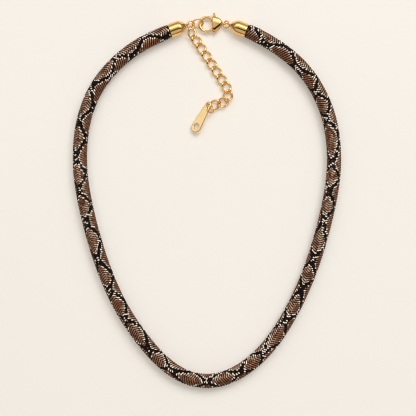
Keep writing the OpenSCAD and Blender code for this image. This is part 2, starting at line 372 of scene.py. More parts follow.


# %% [markdown]
# All this lies in one shader group, which puts out a colour, a roughness, and how metallic and how
# lacquered each scale is. Along a band that wanders slowly from side to side, a painted highlight
# turns the crowns of the scales pale. The foot of a scale is painted darker than its crown, as
# painted shade in the gaps.


# %% Skin markings
def noise(place, scale, detail):
    """Cloudy noise at a place."""
    return add(place.tree, "ShaderNodeTexNoise", {
        "Vector": place, "Scale": scale, "Detail": detail})


def blend(amount, low, high):
    """The colour that lies amount of the way from low to high."""
    factor, first, second, result = 0, 6, 7, 2
    return add(amount.tree, "ShaderNodeMix", {factor: amount, first: low, second: high},
               out=result, data_type="RGBA")


def skin_markings():
    tree, given, result = open_group(
        "skin markings", "ShaderNodeTree", {**POINT, **OVALS, **MARKS, **FINISH},
        {"Color": "Color", "Roughness": "Float", "Metallic": "Float", "Lacquer": "Float"})
    along, around = print_place(given)
    share, quarter = along / cord_length, around / (math.pi / 2)
    reach, crossing, oval_luck = print_lattice(tree, given, share, along, quarter)
    tone = given["Tone"]
    luck = calc("FRACT", tone * given["Reshuffle"])
    spot = add(tree, "ShaderNodeCombineXYZ", [given["Along"] / given["Period"], quarter])
    patch = noise(spot, given["Patches"], 1)
    ragged = (tone - 0.5) * given["Raggedness"] + reach
    past_saddle = ragged > (patch - 0.5) * given["Patch Pull"] + given["Saddle"]
    past_rim = ragged > given["Rim"]

    # Painted highlight: a band round the cord, set towards where light falls and swinging round as
    # the loop turns, paints the crowns of the saddle scales pale, more so in some patches and scales,
    # and turns every rim scale on it cream.
    swing = calc("COSINE", share * (2 * math.pi))
    off_highlight = given["Around"] - (swing * given["Highlight Swing"] - given["Highlight Turn"])
    highlight_band = calc("MAXIMUM", calc("COSINE", off_highlight), 0) ** given["Highlight Narrowness"]
    warm = oval_luck * given["Warm By Oval"] + luck * given["Warm By Scale"]
    highlight_gain = clamp(patch * given["Fade"] + (luck * given["Highlight Luck"] - given["Highlight From"]),
                  given["Strongest Highlight"])
    saddle = blend(highlight_band * highlight_gain, blend(warm, BROWN, TAN), HIGHLIGHT_PALE)
    rim = blend(highlight_band * given["Rim Gaps"] + luck > given["Rim Gaps"], saddle, CREAM)
    meeting = (crossing > given["Crossing"]) * (luck < given["Crossing Dots"])
    bands = blend(calc("MAXIMUM", meeting, luck > given["Stray Dots"]), BLACK, CREAM)

    top = blend(past_rim, blend(past_saddle, saddle, rim), bands)
    # Painted shade: every scale is painted darker from its crown down to a near-black foot, so the
    # gaps between scales look shaded.
    foot = blend(past_rim, blend(past_saddle, SADDLE_FOOT_SHADE, CREAM_SHADE), BAND_FOOT_SHADE)
    height = given["Crown"] ** 2
    blend(height, foot, top).into(result["Color"])
    (luck * given["Satin Luck"] + given["Satin"]).into(result["Roughness"])
    ((1 - past_saddle) * height * given["Foil"]).into(result["Metallic"])
    ((1 - past_rim * given["Dull Bands"]) * height).into(result["Lacquer"])
    return tree


markings = skin_markings()
print("skin markings:", len(markings.nodes), "nodes")

# %% [markdown]
# The scales themselves are glossy, like lacquer over the print, so a thin clear coat goes over a
# satin base. The tube under them is only seen in the gaps: dark, and dull.


# %% Skin materials
def new_material(name, values):
    """A material, its tree, and the inputs of its Principled shader, some set to these values."""
    material = bpy.data.materials.new(name)
    material.use_nodes = True
    shader = material.node_tree.nodes["Principled BSDF"].inputs
    for label, value in values.items():
        shader[label].default_value = value
    return material, material.node_tree, shader


def place_on_piece(tree):
    """The place in the piece's own coordinates."""
    return add(tree, "ShaderNodeTexCoord", out="Object")


def bump(height, strength, depth):
    """A normal that makes this height stand out, depth millimetres deep."""
    return add(height.tree, "ShaderNodeBump", {
        "Strength": strength, "Distance": depth * MM, "Height": height})


def scale_material():
    material, tree, shader = new_material("snakeskin scales", {
        "Specular IOR Level": 0.05, "Coat Roughness": 0.18})
    printed = add(tree, "ShaderNodeGroup", {
        label: add(tree, "ShaderNodeAttribute", out="Fac", attribute_name=label.lower())
        for label in POINT}, node_tree=markings)
    for label, target in (("Color", "Base Color"), ("Roughness", "Roughness"),
                          ("Metallic", "Metallic"), ("Lacquer", "Coat Weight")):
        printed.also(label).into(shader[target])
    grain = noise(place_on_piece(tree), scale=4200, detail=3)
    bump(grain, strength=0.25, depth=0.02).into(shader["Normal"])
    return material


def core_material():
    material, tree, shader = new_material("cord core", {
        "Roughness": 0.6, "Specular IOR Level": 0.1})
    fibre = noise(place_on_piece(tree), scale=2500, detail=4)
    blend(fibre, CORE_DARK, CORE_LIGHT).into(shader["Base Color"])
    bump(fibre, strength=0.5, depth=0.03).into(shader["Normal"])
    return material


scales_look = scale_material()
core_look = core_material()
print("skin materials:", scales_look.name, "and", core_look.name)

# %% [markdown]
# ## One scale
#
# Seen close, each scale is a small rounded lozenge, domed, and longer round the cord than along it.
# It is repeated some eight thousand times, so it has only 20 triangles: a six-cornered foot, a
# smaller crown, and smooth shading that makes a pillow of them. Its points carry three numbers. The
# first is crown, 0 at the foot and 1 at the top, which paints shade into the gaps between scales.
# The others, ahead and aside, say how far the point lies from the scale's middle, and carry the print
# across it.

# %% Scale shape
COLUMNS = 22
CHEVRONS = 2
ROW_PITCH = 1.05
ROW_RISE = 2.2
SCALE_HEIGHT = 0.27
SCALE_SINK = 0.1
SHOULDER = 0.56
ROW_FILL, COLUMN_FILL = 0.94, 1.22
CROWN_WIDTH, CROWN_LENGTH = 0.4, 0.94
column_arc = 2 * math.pi * CORD_RADIUS / COLUMNS
slant = math.atan2(ROW_RISE, math.pi * CORD_RADIUS / CHEVRONS)
scale_size = (ROW_FILL * ROW_PITCH * math.cos(slant), COLUMN_FILL * column_arc / math.cos(slant))
crown_size = (CROWN_WIDTH * scale_size[0], CROWN_LENGTH * scale_size[1])


def walls(rings, sides, closed=False):
    """The faces between each ring of points and the next, and from the last to the first."""
    def corner(i, j):
        return i % rings * sides + j % sides

    return [(corner(i, j), corner(i, j + 1), corner(i + 1, j + 1), corner(i + 1, j))
            for i in range(rings if closed else rings - 1) for j in range(sides)]


def walls_and_ends(rings, sides):
    """All the faces of a closed stack of rings."""
    last = (rings - 1) * sides
    return walls(rings, sides) + [tuple(range(sides))[::-1], tuple(range(last, last + sides))]


def lozenge(width, length, z):
    """Points of a six-cornered lozenge at the height z."""
    x, y = width / 2, length / 2
    return [(x, -SHOULDER * y, z), (x, SHOULDER * y, z), (0, y, z),
            (-x, SHOULDER * y, z), (-x, -SHOULDER * y, z), (0, -y, z)]


def scale_mesh():
    foot, crown = lozenge(*scale_size, -SCALE_SINK), lozenge(*crown_size, SCALE_HEIGHT)
    points = foot + crown
    mesh = bpy.data.meshes.new("scale")
    mesh.from_pydata([Vector(p) * MM for p in points], [], walls_and_ends(2, len(foot)))
    mesh.shade_smooth()
    for name, values in (
            ("crown", [0.0] * len(foot) + [1.0] * len(crown)),
            ("ahead", [p[0] * MM for p in points]),
            ("aside", [p[1] * MM for p in points])):
        mesh.attributes.new(name, "FLOAT", "POINT").data.foreach_set("value", values)
    return mesh


scale = show("scale", scale_mesh())
print("scale:", [round(s, 2) for s in scale_size], "mm, slant", round(math.degrees(slant)), "degrees")

# %% [markdown]
# ## The skin, laid by a geometry tree
#
# The cord narrows where it goes into a cap. So the skin's radius is a rule of its own, and both the
# scales and the dark tube under them follow it. The tube steps down once more inside the cap, where
# there are no scales.

# %% Tube under the scales
TUBE_STEP_AT = 0.1 * MM
TUBE_SIDES = 16


def skin_radius(given, total, length):
    """The skin's radius at a length along the line, and how far out of a cap that is."""
    out = calc("MINIMUM", length, total - length) - given["Seat Length"]
    t = clamp(out / given["Swell"])
    gain = given["Full Radius"] - given["Neck Radius"]
    return t * (2 - t) * gain + given["Neck Radius"], out


def core_tube(tree, given, total):
    """The tube, with its material."""
    along = add(tree, "GeometryNodeSplineParameter", out="Length")
    radius, out = skin_radius(given, total, along)
    step = (radius - given["Depth"] - given["Seat Radius"]) * (out > TUBE_STEP_AT)
    circle = add(tree, "GeometryNodeCurvePrimitiveCircle", {"Resolution": TUBE_SIDES, "Radius": 1})
    tube = add(tree, "GeometryNodeCurveToMesh", {
        "Curve": given["Geometry"], "Profile Curve": circle, "Scale": given["Seat Radius"] + step,
        "Fill Caps": True})
    return add(tree, "GeometryNodeSetMaterial", {"Geometry": tube, "Material": core_look})


# %% [markdown]
# The scales lie in ribs that zigzag round the cord, so that half of the columns make one chevron
# that points back to the left cap. That is a rule, and a rule is what Geometry Nodes are for. The
# tree numbers the scales, works out the row and column of each, finds its place on the middle line,
# and turns it to face outwards. The columns sway a little round the cord along its length.

# %% Places of the scales
SPARE_ROWS = 2
SWAY_LENGTH = 0.05
FIRST_SCALE_AT = 0.55 * MM


def scale_numbers(tree, given, total):
    """How many scales there are, the number of each, its leg of the chevron, and its place."""
    rows = calc("CEIL", total / given["Row Pitch"]) + 2 * SPARE_ROWS
    index = add(tree, "GeometryNodeInputIndex")
    row = calc("FLOOR", index / given["Columns"])
    share = (index - row * given["Columns"] + 0.5) / given["Columns"]
    leg = calc("FRACT", share * given["Chevrons"]) - 0.5
    start = (row - SPARE_ROWS) * given["Row Pitch"]
    along = calc("ABSOLUTE", leg) * 2 * given["Row Rise"] + start
    sway = given["Sway"] * calc("SINE", along / SWAY_LENGTH)
    around = (share - 0.25) * (2 * math.pi) + sway
    return rows * given["Columns"], index, leg, along, around


def scaled(vector, amount):
    """A vector times a number."""
    return add(vector.tree, "ShaderNodeVectorMath", {"Vector": vector, "Scale": amount},
               operation="SCALE")


def summed(first, second):
    """The sum of two vectors."""
    return add(first.tree, "ShaderNodeVectorMath", [first, second], operation="ADD")


def skin_place(tree, given, along, around, radius):
    """A place on the skin, the way out from it, and the way along the cord."""
    sample = add(tree, "GeometryNodeSampleCurve", {
        "Curves": given["Geometry"], "Length": along}, mode="LENGTH")
    tangent = sample.also("Tangent")
    side = add(tree, "ShaderNodeVectorMath", [(0, 0, 1), tangent], operation="CROSS_PRODUCT")
    angle = around + math.pi / 2
    upward = add(tree, "ShaderNodeCombineXYZ", {"Z": calc("SINE", angle)})
    outward = summed(scaled(side, calc("COSINE", angle)), upward)
    return summed(sample.also("Position"), scaled(outward, radius - given["Depth"])), outward, tangent


# %% [markdown]
# Each scale leans a little towards the next row, is turned to its leg of the chevron, and differs
# slightly from its neighbours in size and turn. Its place, turn and tone are stored on it for the
# print. Every random number has a fixed seed, so the cord comes out the same each time.

# %% Skin tree
LEAN = math.radians(7)
TIP_LIFT = 0.03
TURN_PLAY = 0.05
LEAST_LENGTH, LEAST_HEIGHT = 0.94, 0.86


def luck(given, index, low, high, shift):
    """A random number for each scale, another one for each shift."""
    low_input, high_input, result = 2, 3, 1
    return add(index.tree, "FunctionNodeRandomValue", {
        low_input: low, high_input: high, "ID": index, "Seed": given["Seed"] + shift},
        out=result, data_type="FLOAT")


def skin_tree():
    tree, given, result = open_tree("snakeskin cord", {
        "Scale": "Object", "Full Radius": CORD_RADIUS * MM, "Neck Radius": 2.95 * MM,
        "Seat Radius": 2.6 * MM, "Seat Length": SEAT_LENGTH * MM, "Swell": 6 * MM,
        "Columns": COLUMNS, "Chevrons": CHEVRONS, "Row Pitch": ROW_PITCH * MM,
        "Row Rise": ROW_RISE * MM, "Slant": slant, "Lean": LEAN, "Sway": 0.3,
        "Depth": (SCALE_HEIGHT + TIP_LIFT) * MM, "Seed": 7})
    total = add(tree, "GeometryNodeCurveLength", [given["Geometry"]])
    core = core_tube(tree, given, total)

    count, index, leg, along, around = scale_numbers(tree, given, total)
    radius, out = skin_radius(given, total, along)
    place, outward, tangent = skin_place(tree, given, along, around, radius)
    points = add(tree, "GeometryNodePoints", {"Count": count})
    points = add(tree, "GeometryNodeSetPosition", {"Geometry": points, "Position": place})
    swing = calc("SIGN", leg) * given["Slant"] + luck(given, index, -TURN_PLAY, TURN_PLAY, 1)
    tone = luck(given, index, 0, 1, 0)
    for name, value in (("along", along), ("around", around), ("swing", swing), ("tone", tone)):
        points = add(tree, "GeometryNodeStoreNamedAttribute", {
            "Geometry": points, "Name": name, "Value": value}, data_type="FLOAT", domain="POINT")

    upright = add(tree, "FunctionNodeAxesToRotation", [outward, tangent],
                  primary_axis="Z", secondary_axis="X")
    tilt = add(tree, "ShaderNodeCombineXYZ", [0, given["Lean"], swing])
    facing = add(tree, "FunctionNodeRotateRotation", [
        upright, add(tree, "FunctionNodeEulerToRotation", [tilt])], rotation_space="LOCAL")
    shape = add(tree, "GeometryNodeObjectInfo", {"Object": given["Scale"]}, out="Geometry")
    size = add(tree, "ShaderNodeCombineXYZ", [
        1, luck(given, index, LEAST_LENGTH, 1, 2), luck(given, index, LEAST_HEIGHT, 1, 3)])
    scales = add(tree, "GeometryNodeInstanceOnPoints", {
        "Points": points, "Selection": out > FIRST_SCALE_AT, "Instance": shape,
        "Rotation": facing, "Scale": size})
    joined = add(tree, "GeometryNodeJoinGeometry", [core])
    dress(scales, scales_look).into(joined.socket.node.inputs[0])
    joined.into(result)
    return tree


# %% [markdown]
# The tree runs on a curve that holds the cord's middle line. The result is a cord that leaves the
# left cap and goes back into the right one, with the length of that line.

# %% Snake cord
line_data = bpy.data.curves.new("cord line", "CURVE")
line_data.dimensions = "3D"
strand = line_data.splines.new("POLY")
strand.points.add(len(cord_line) - 1)
for point, spot in zip(strand.points, cord_line):
    point.co = (*spot, 1)

snake_cord = grow("snake_cord", line_data, skin_tree(), {"Scale": scale})
bpy.data.objects.remove(scale)
settle(snake_cord, "snakeskin", "cord")

# %% [markdown]
# ## Gold plate
#
# Every metal piece is plated brass, polished until it mirrors the room. What keeps it from looking
# like plastic is that the polish isn't even: hair scratches, soft smears where it was handled, and
# a slow change of tint. One group makes all three from the place on the piece, and each material
# uses it with its own strengths.

# %% Plate wear
HAIR_DULLING = 0.05
HAIR_TURN = (0.5, 0.3, 0.7)
HAIR_STRETCH = (900, 9000, 2500)


def plate_wear():
    tree, given, result = open_group(
        "plate wear", "ShaderNodeTree", {"Place": "Vector", "Polish": 0.1, "Smear": 0.1},
        {"Roughness": "Float", "Height": "Float", "Tint": "Float"})
    smear = noise(given["Place"], scale=420, detail=3)
    drawn = add(tree, "ShaderNodeMapping", {
        "Vector": given["Place"], "Rotation": HAIR_TURN, "Scale": HAIR_STRETCH})
    hair = noise(drawn, scale=1, detail=4)
    rough = hair * HAIR_DULLING + (smear * given["Smear"] + given["Polish"])
    rough.into(result["Roughness"])
    hair.into(result["Height"])
    noise(given["Place"], scale=160, detail=2).into(result["Tint"])
    return tree


wear = plate_wear()


def plate(name, bright, deep, polish, smear):
    """A metal finish between two tints. Polish is its least roughness, and smears add to it."""
    material, tree, shader = new_material(name, {
        "Metallic": 1, "Coat Weight": 0.12, "Coat Roughness": 0.06})
    worn = add(tree, "ShaderNodeGroup", {
        "Place": place_on_piece(tree), "Polish": polish, "Smear": smear}, node_tree=wear)
    blend(worn.also("Tint"), bright, deep).into(shader["Base Color"])
    worn.also("Roughness").into(shader["Roughness"])
    bump(worn.also("Height"), strength=0.12, depth=0.01).into(shader["Normal"])
    return material


clasp_gold = plate("clasp gold", (0.95, 0.62, 0.26, 1), (0.89, 0.55, 0.2, 1), 0.07, 0.06)
wire_gold = plate("wire gold", (0.97, 0.66, 0.29, 1), (0.92, 0.58, 0.21, 1), 0.07, 0.06)
cap_gold = plate("cap gold", (0.94, 0.6, 0.22, 1), (0.88, 0.53, 0.17, 1), 0.08, 0.07)
tag_gold = plate("tag gold", (0.95, 0.7, 0.36, 1), (0.91, 0.63, 0.29, 1), 0.1, 0.04)
# Painted shade: a near-black finish for the floors of the clasp's grooves
groove_shade = plate("painted groove shade", (0.05, 0.022, 0.008, 1), (0.03, 0.012, 0.005, 1), 0.3, 0.1)
print("finishes:", [m.name for m in (clasp_gold, wire_gold, cap_gold, tag_gold, groove_shade)])

# %% [markdown]
# ## Reading a place from the frame
#
# The rings and links are the same shapes again and again, each lying its own way. Their places need
# no second table here, because a ring or a link shows its own axes: the middle of its surface is
# its centre, and the directions in which the surface spreads most and least are its long way and
# its axis. Both shapes look the same when they are turned over, so either sign of an axis will do.


# %% Axes of a node
def node_axes(name):
    """The centre of a CAD node's surface, and its axes from the longest to the shortest."""
    mesh = frame["nodes"][name].data
    mesh.calc_loop_triangles()
    corners = np.array([v.co for v in mesh.vertices])[
        np.array([t.vertices for t in mesh.loop_triangles])]
    middles = corners.mean(axis=1)
    areas = np.array([t.area for t in mesh.loop_triangles])
    centre = np.average(middles, axis=0, weights=areas)
    spread = np.cov((middles - centre).T, aweights=areas)
    axes = np.linalg.eigh(spread)[1][:, ::-1].T
    axes[2] = np.cross(axes[0], axes[1])
    return centre, axes


def turn_of(axes):
    """The rotation that takes X, Y and Z to these axes."""
    return Matrix([list(a) for a in axes]).transposed()


# %% [markdown]
# ## Extender chain
#
# A curb link is an oval of round wire whose ends are twisted out of its plane, opposite ways, so
# that the links lie almost flat. The tree bends a circle by that rule, sweeps the wire along it and
# sets one link on each point of a mesh that holds the eleven places and turns.

# %% Chain tree
LINKS = [f"link_{i:02d}" for i in range(1, 12)]


def sweep(line, sides, wire, ends=False):
    """Round wire along a line, with closed ends if it has any."""
    section = add(line.tree, "GeometryNodeCurvePrimitiveCircle", {
        "Resolution": sides, "Radius": wire / 2})
    return add(line.tree, "GeometryNodeCurveToMesh", {
        "Curve": line, "Profile Curve": section, "Fill Caps": ends})


def chain_tree():
    tree, given, result = open_tree("curb chain", {
        "Half Length": 2.61 * MM, "Half Width": 1.85 * MM, "Wire": 0.95 * MM,
        "Twist": math.radians(45), "Steps": 48, "Wire Sides": 14})
    circle = add(tree, "GeometryNodeCurvePrimitiveCircle", {
        "Resolution": given["Steps"], "Radius": 1})
    index = add(tree, "GeometryNodeInputIndex")
    t = index / given["Steps"] * (2 * math.pi)
    twist = given["Twist"] * calc("COSINE", t)
    aside = given["Half Width"] * calc("SINE", t)
    bent = add(tree, "ShaderNodeCombineXYZ", [
        given["Half Length"] * calc("COSINE", t),
        aside * calc("COSINE", twist), aside * calc("SINE", twist)])
    loop = add(tree, "GeometryNodeSetPosition", {"Geometry": circle, "Position": bent})
    turned = add(tree, "GeometryNodeInputNamedAttribute", {"Name": "turn"},
                 data_type="FLOAT_VECTOR")
    links = add(tree, "GeometryNodeInstanceOnPoints", {
        "Points": given["Geometry"], "Instance": sweep(loop, given["Wire Sides"], given["Wire"]),
        "Rotation": add(tree, "FunctionNodeEulerToRotation", [turned])})
    dress(links, wire_gold).into(result)
    return tree


# %% Extender chain
link_frames = [node_axes(name) for name in LINKS]
chain_points = bpy.data.meshes.new("chain places")
chain_points.from_pydata([Vector(centre) for centre, _ in link_frames], [], [])
turns = chain_points.attributes.new("turn", "FLOAT_VECTOR", "POINT")
turns.data.foreach_set("vector", [
    angle for _, axes in link_frames for angle in turn_of(axes).to_euler()])
settle(grow("extender_chain", chain_points, chain_tree(), {}), "gold", *LINKS)

# %% [markdown]
# ## Jump rings
#
# A jump ring is a turn of wire, cut once so that it can be opened. The cut shows as a hair line. The
# tree sweeps an arc that stops just short of a full turn, and each ring's own place then goes into
# its mesh, with the cut turned to a chosen side.

# %% Ring tree
RING_WIRE = 0.7
TAG_RING_WIRE = 0.6


def ring_tree():
    tree, given, result = open_tree("jump ring", {
        "Radius": 1.7 * MM, "Wire": RING_WIRE * MM, "Cut": 0.05 * MM, "Steps": 72,
        "Wire Sides": 20})
    gap = given["Cut"] / given["Radius"]
    arc_line = add(tree, "GeometryNodeCurveArc", {
        "Resolution": given["Steps"], "Radius": given["Radius"],
        "Start Angle": gap / 2, "Sweep Angle": 2 * math.pi - gap})
    ring = sweep(arc_line, given["Wire Sides"], given["Wire"], ends=True)
    dress(ring, wire_gold).into(result)
    return tree


ring_maker = ring_tree()


# %% Jump rings
def make_ring(name, radius, wire, cut_towards):
    """A jump ring where its node lies, cut on the side that cut_towards points to."""
    ring = grow(name + "_wire", bpy.data.meshes.new(name), ring_maker, {
        "Radius": radius * MM, "Wire": wire * MM})
    centre, axes = node_axes(name)
    axis = Vector(axes[2])
    x = Vector(cut_towards).cross(axis).cross(-axis).normalized()
    ring.data.transform(
        Matrix.Translation(Vector(centre)) @ turn_of([x, axis.cross(x), axis]).to_4x4())
    settle(ring, "gold", name)


make_ring("ring_left", 1.7, RING_WIRE, (0.5, 1, 0))
make_ring("ring_clasp", 2.4, RING_WIRE, (-0.2, -1, 0))
make_ring("ring_right", 1.5, RING_WIRE, (0, -1, 0))
make_ring("ring_tag", 2.05, TAG_RING_WIRE, (1, -0.6, 0))

# %% [markdown]
# ## Turned and cut pieces
#
# The caps, the pin and the holes in the tag are all turned on a lathe, so one helper revolves a
# profile into a closed mesh. Another lays a skin over a stack of rings, for the tag, the clasp and
# every box. Both work in millimetres.


# %% Mesh shapes
def make_mesh(name, points, faces):
    """An object from points in millimetres and faces, with its normals turned outwards."""
    mesh = bpy.data.meshes.new(name)
    mesh.from_pydata([Vector(p) * MM for p in points], [], faces)
    shape = bmesh.new()
    shape.from_mesh(mesh)
    bmesh.ops.recalc_face_normals(shape, faces=shape.faces)
    shape.to_mesh(mesh)
    shape.free()
    return show(name, mesh)


def skin(name, rings):
    """A closed mesh over a stack of rings."""
    faces = walls_and_ends(len(rings), len(rings[0]))
    return make_mesh(name, [p for ring in rings for p in ring], faces)


def block(name, low, high):
    """A box between two corners."""
    return skin(name, [
        [(x, low[1], low[2]), (x, high[1], low[2]), (x, high[1], high[2]), (x, low[1], high[2])]
        for x in (low[0], high[0])])


def angles(steps):
    """Angles spaced evenly round a circle."""
    return 2 * np.pi * np.arange(steps) / steps


def arc(x, r, width, height, start, end, steps):
    """Points of an elliptic arc about (x, r), from one angle to another in degrees."""
    return [(x + width * math.cos(a), r + height * math.sin(a))
            for a in np.radians(np.linspace(start, end, steps))]


def lathe(name, profile, sides=64):
    """Revolves a profile of (x, radius) about the X axis; its first and last radius are 0."""
    body = [(x, r * math.cos(a), r * math.sin(a)) for x, r in profile[1:-1] for a in angles(sides)]
    poles = [(profile[0][0], 0, 0), (profile[-1][0], 0, 0)]
    last = len(body) - sides
    faces = walls(len(profile) - 2, sides)
    faces += [(len(body), j, (j + 1) % sides) for j in range(sides)]
    faces += [(len(body) + 1, last + (j + 1) % sides, last + j) for j in range(sides)]
    return make_mesh(name, body + poles, faces)


# %% [markdown]
# Pieces are united or cut with the exact solver, which keeps the walls crisp. The edges that should
# stay sharp are then found by their angle, and everything else is shaded smooth.

# %% Mesh tools
EYE_R = 0.95
EYE_TURNS = 64
EYE_SIDES = 20


def modify(piece, kind, **settings):
    """Gives a piece's mesh the result of a modifier."""
    set_all(piece.modifiers.new(kind, kind), settings)
    depsgraph = bpy.context.evaluated_depsgraph_get()
    mesh = bpy.data.meshes.new_from_object(piece.evaluated_get(depsgraph))
    piece.modifiers.clear()
    piece.data = mesh


def join(piece, other, operation):
    """Unites piece with other, or cuts other out of it, or keeps what both share. Uses up other."""
    modify(piece, "BOOLEAN", operation=operation, solver="EXACT", object=other)
    bpy.data.objects.remove(other)


def place(piece, *moves):
    """Moves a piece's mesh by these matrices, the last one first."""
    for move in reversed(moves):
        piece.data.transform(move)


def shift(x, y, z):
    """A move by millimetres."""
    return Matrix.Translation(Vector((x, y, z)) * MM)


def turn(degrees, axis):
    """A turn about an axis."""
    return Matrix.Rotation(math.radians(degrees), 4, axis)


def solder_eye(piece, x):
    """Unites a piece with an upright eye of wire, whose middle lies at x."""
    out = [(EYE_R + RING_WIRE / 2 * math.cos(b), RING_WIRE / 2 * math.sin(b))
           for b in angles(EYE_SIDES)]
    points = [(r * math.cos(a), r * math.sin(a), z) for a in angles(EYE_TURNS) for r, z in out]
    eye_ring = make_mesh("eye", points, walls(EYE_TURNS, EYE_SIDES, closed=True))
    place(eye_ring, shift(x, 0, 0), turn(90, "X"))
    join(piece, eye_ring, "UNION")


def polish(piece, material, sharp=32):
    """Gives a piece its material and smooth shading, with edges sharper than an angle kept."""
    piece.data.materials.clear()
    piece.data.materials.append(material)
    piece.data.polygons.foreach_set("material_index", [0] * len(piece.data.polygons))
    piece.data.shade_smooth()
    piece.data.set_sharp_from_angle(angle=math.radians(sharp))
    modify(piece, "WEIGHTED_NORMAL", keep_sharp=True, weight=100)


# %% [markdown]
# ## End caps
#
# Each cap is a thin bullet: a straight barrel that grips the cord, a soft shoulder, a short cone
# and a small flat nose with an upright eye soldered to it. The rim at the mouth is rounded. The
# bore is real, and the cord's thinner end sits in it.

# %% End caps
CAP_R = 3.05
CAP_WALL = 0.35
BORE_END = 4.2
MOUTH_ROUND = 0.12
SHOULDER_AT = 3.9
SHOULDER_R = 3
CONE_ANGLE = 52
NOSE_END = 7.3
NOSE_ROUND = 0.22
NOSE_R = 1.05
CAP_EYE_AT = 8
cap_profile = (
    [(BORE_END, 0), (BORE_END, CAP_R - CAP_WALL)]
    + arc(MOUTH_ROUND, CAP_R - MOUTH_ROUND, MOUTH_ROUND, MOUTH_ROUND, 270, 90, steps=9)
    + arc(SHOULDER_AT, CAP_R - SHOULDER_R, SHOULDER_R, SHOULDER_R, 90, CONE_ANGLE, steps=12)
    + arc(NOSE_END - NOSE_ROUND, NOSE_R, NOSE_ROUND, NOSE_ROUND, CONE_ANGLE, 0, steps=5)
    + [(NOSE_END, NOSE_R / 2), (NOSE_END, 0)])


def make_cap(name, mouth, degrees):
    cap = lathe(name + "_shell", cap_profile)
    solder_eye(cap, CAP_EYE_AT)
    place(cap, shift(*mouth, CORD_Z / MM), turn(degrees, "Z"))
    polish(cap, cap_gold)
    settle(cap, "cap_gold", name)


make_cap("cap_left", MOUTH_LEFT, math.degrees(CAP_TURN))
make_cap("cap_right", MOUTH_RIGHT, 180 - math.degrees(CAP_TURN))

# %% [markdown]
# ## Tag
#
# The tag is stamped from sheet and tumbled: a long drop, thicker at its round end, with softly
# rounded edges. It has a small hole for its ring and a larger round one as ornament. The outline is
# two circles and the lines that touch both, drawn once for each step of the rounded edge.


# %% Drop outline
def drop_outline(top, top_r, low, low_r, steps=28):
    """The outline round two circles that lie one above the other, as (x, y)."""
    lean = math.asin((low_r - top_r) / (top - low))
    upper = [(top_r * math.cos(a), top + top_r * math.sin(a))
             for a in np.linspace(-lean, math.pi + lean, steps)]
    lower = [(low_r * math.cos(a), low + low_r * math.sin(a))
             for a in np.linspace(math.pi + lean, 2 * math.pi - lean, steps)]
    return upper + lower


# %% Tag
TAG_TOP = 0.1
TAG_LOW = TAG_TOP - 11.2
TAG_TOP_R, TAG_LOW_R = 1.55, 2.45
TAG_TOP_T, TAG_LOW_T = 0.95, 1.5
TAG_EDGE = 0.47
TAG_EDGE_STEPS = 12
# The holes: y, radius
TAG_HOLES = ((0, 0.85), (TAG_LOW + 0.5, 1.4))
HOLE_FLARE = 0.12
HOLE_FLARE_STEPS = 5
HOLE_CUT = 0.6
TAG_AT = (0.55, 42.15, 2.1)
TAG_TURN, TAG_TIP, TAG_LEAN = -28, 2, -26


def half_thickness(y):
    """Half of the tag's thickness at y."""
    return (TAG_TOP_T + (TAG_LOW_T - TAG_TOP_T) * (TAG_TOP - y) / (TAG_TOP - TAG_LOW)) / 2


def tag_hole(y, radius):
    """A cutter for a hole whose rims are rounded."""
    half = half_thickness(y)
    rim = [(z, radius + HOLE_FLARE * (1 - math.sqrt(max(0, 1 - (1 - (half - z) / HOLE_FLARE) ** 2))))
           for z in np.linspace(half - HOLE_FLARE, half, HOLE_FLARE_STEPS)]
    profile = rim + [(half + HOLE_CUT, rim[-1][1] + HOLE_CUT / 2), (half + HOLE_CUT, 0)]
    hole = lathe("hole", [(-z, r) for z, r in reversed(profile)] + profile)
    place(hole, shift(0, y, 0), turn(-90, "Y"))
    return hole


def make_tag():
    rings = []
    for a in np.radians(np.linspace(-90, 90, TAG_EDGE_STEPS)):
        inset = TAG_EDGE * (1 - math.cos(a))
        drop = TAG_EDGE * (1 - abs(math.sin(a)))
        rings.append([
            (x, y, math.copysign(half_thickness(y) - drop, a))
            for x, y in drop_outline(TAG_TOP, TAG_TOP_R - inset, TAG_LOW, TAG_LOW_R - inset)])
    tag = skin("tag_plate", rings)
    for y, radius in TAG_HOLES:
        join(tag, tag_hole(y, radius), "DIFFERENCE")
    place(tag, shift(*TAG_AT), turn(TAG_TURN, "Z"), turn(TAG_TIP, "X"), turn(TAG_LEAN, "Y"))
    polish(tag, tag_gold, sharp=40)
    settle(tag, "bright_gold", "tag")


make_tag()

# %% [markdown]
# ## Lobster clasp
#
# The claw and the body are one casting. It is built as the imported solid is, from a table of cross
# sections, but with a smooth curve run through the table and many more sides. The slot for the
# lever, the pin's hole and the groove on each face are then cut out of it. The floor of each groove
# is painted near-black, as painted shade for the dark reflection that a narrow groove shows.

# %% Clasp sections
CLASP_AT = (-0.05, 77.8, 1.75)
CLASP_TURN = 2
CLAW_R = 3.15
CLAW_SIDES = 28
BODY_SIDES = 40
# The claw along its arc: angle, half width, half thickness
CLAW = [
    (38, 0.8, 1.45), (48, 0.75, 1.3), (60, 0.7, 1), (75, 0.66, 0.82), (95, 0.64, 0.74),
    (115, 0.68, 0.72), (135, 0.72, 0.7), (155, 0.74, 0.7), (180, 0.74, 0.7), (205, 0.72, 0.7),
    (225, 0.68, 0.68), (245, 0.6, 0.62), (264, 0.52, 0.55)]
# The body from the claw to the tail: x, lowest y, highest y, half thickness
BODY = [
    (2.3, -3.1, 3.1, 1.1), (2.7, -3.6, 3.45, 1.4), (3.6, -3.45, 3.4, 1.55), (4.6, -2.9, 3.1, 1.6),
    (5.6, -2.05, 2.65, 1.5), (6.4, -1.15, 1.85, 1.2), (7, -0.5, 0.8, 0.75)]
# How flat the body's sides and faces are: 1 makes an ellipse, less makes a rounded box
SIDE_POWER, FACE_POWER = 0.8, 0.7


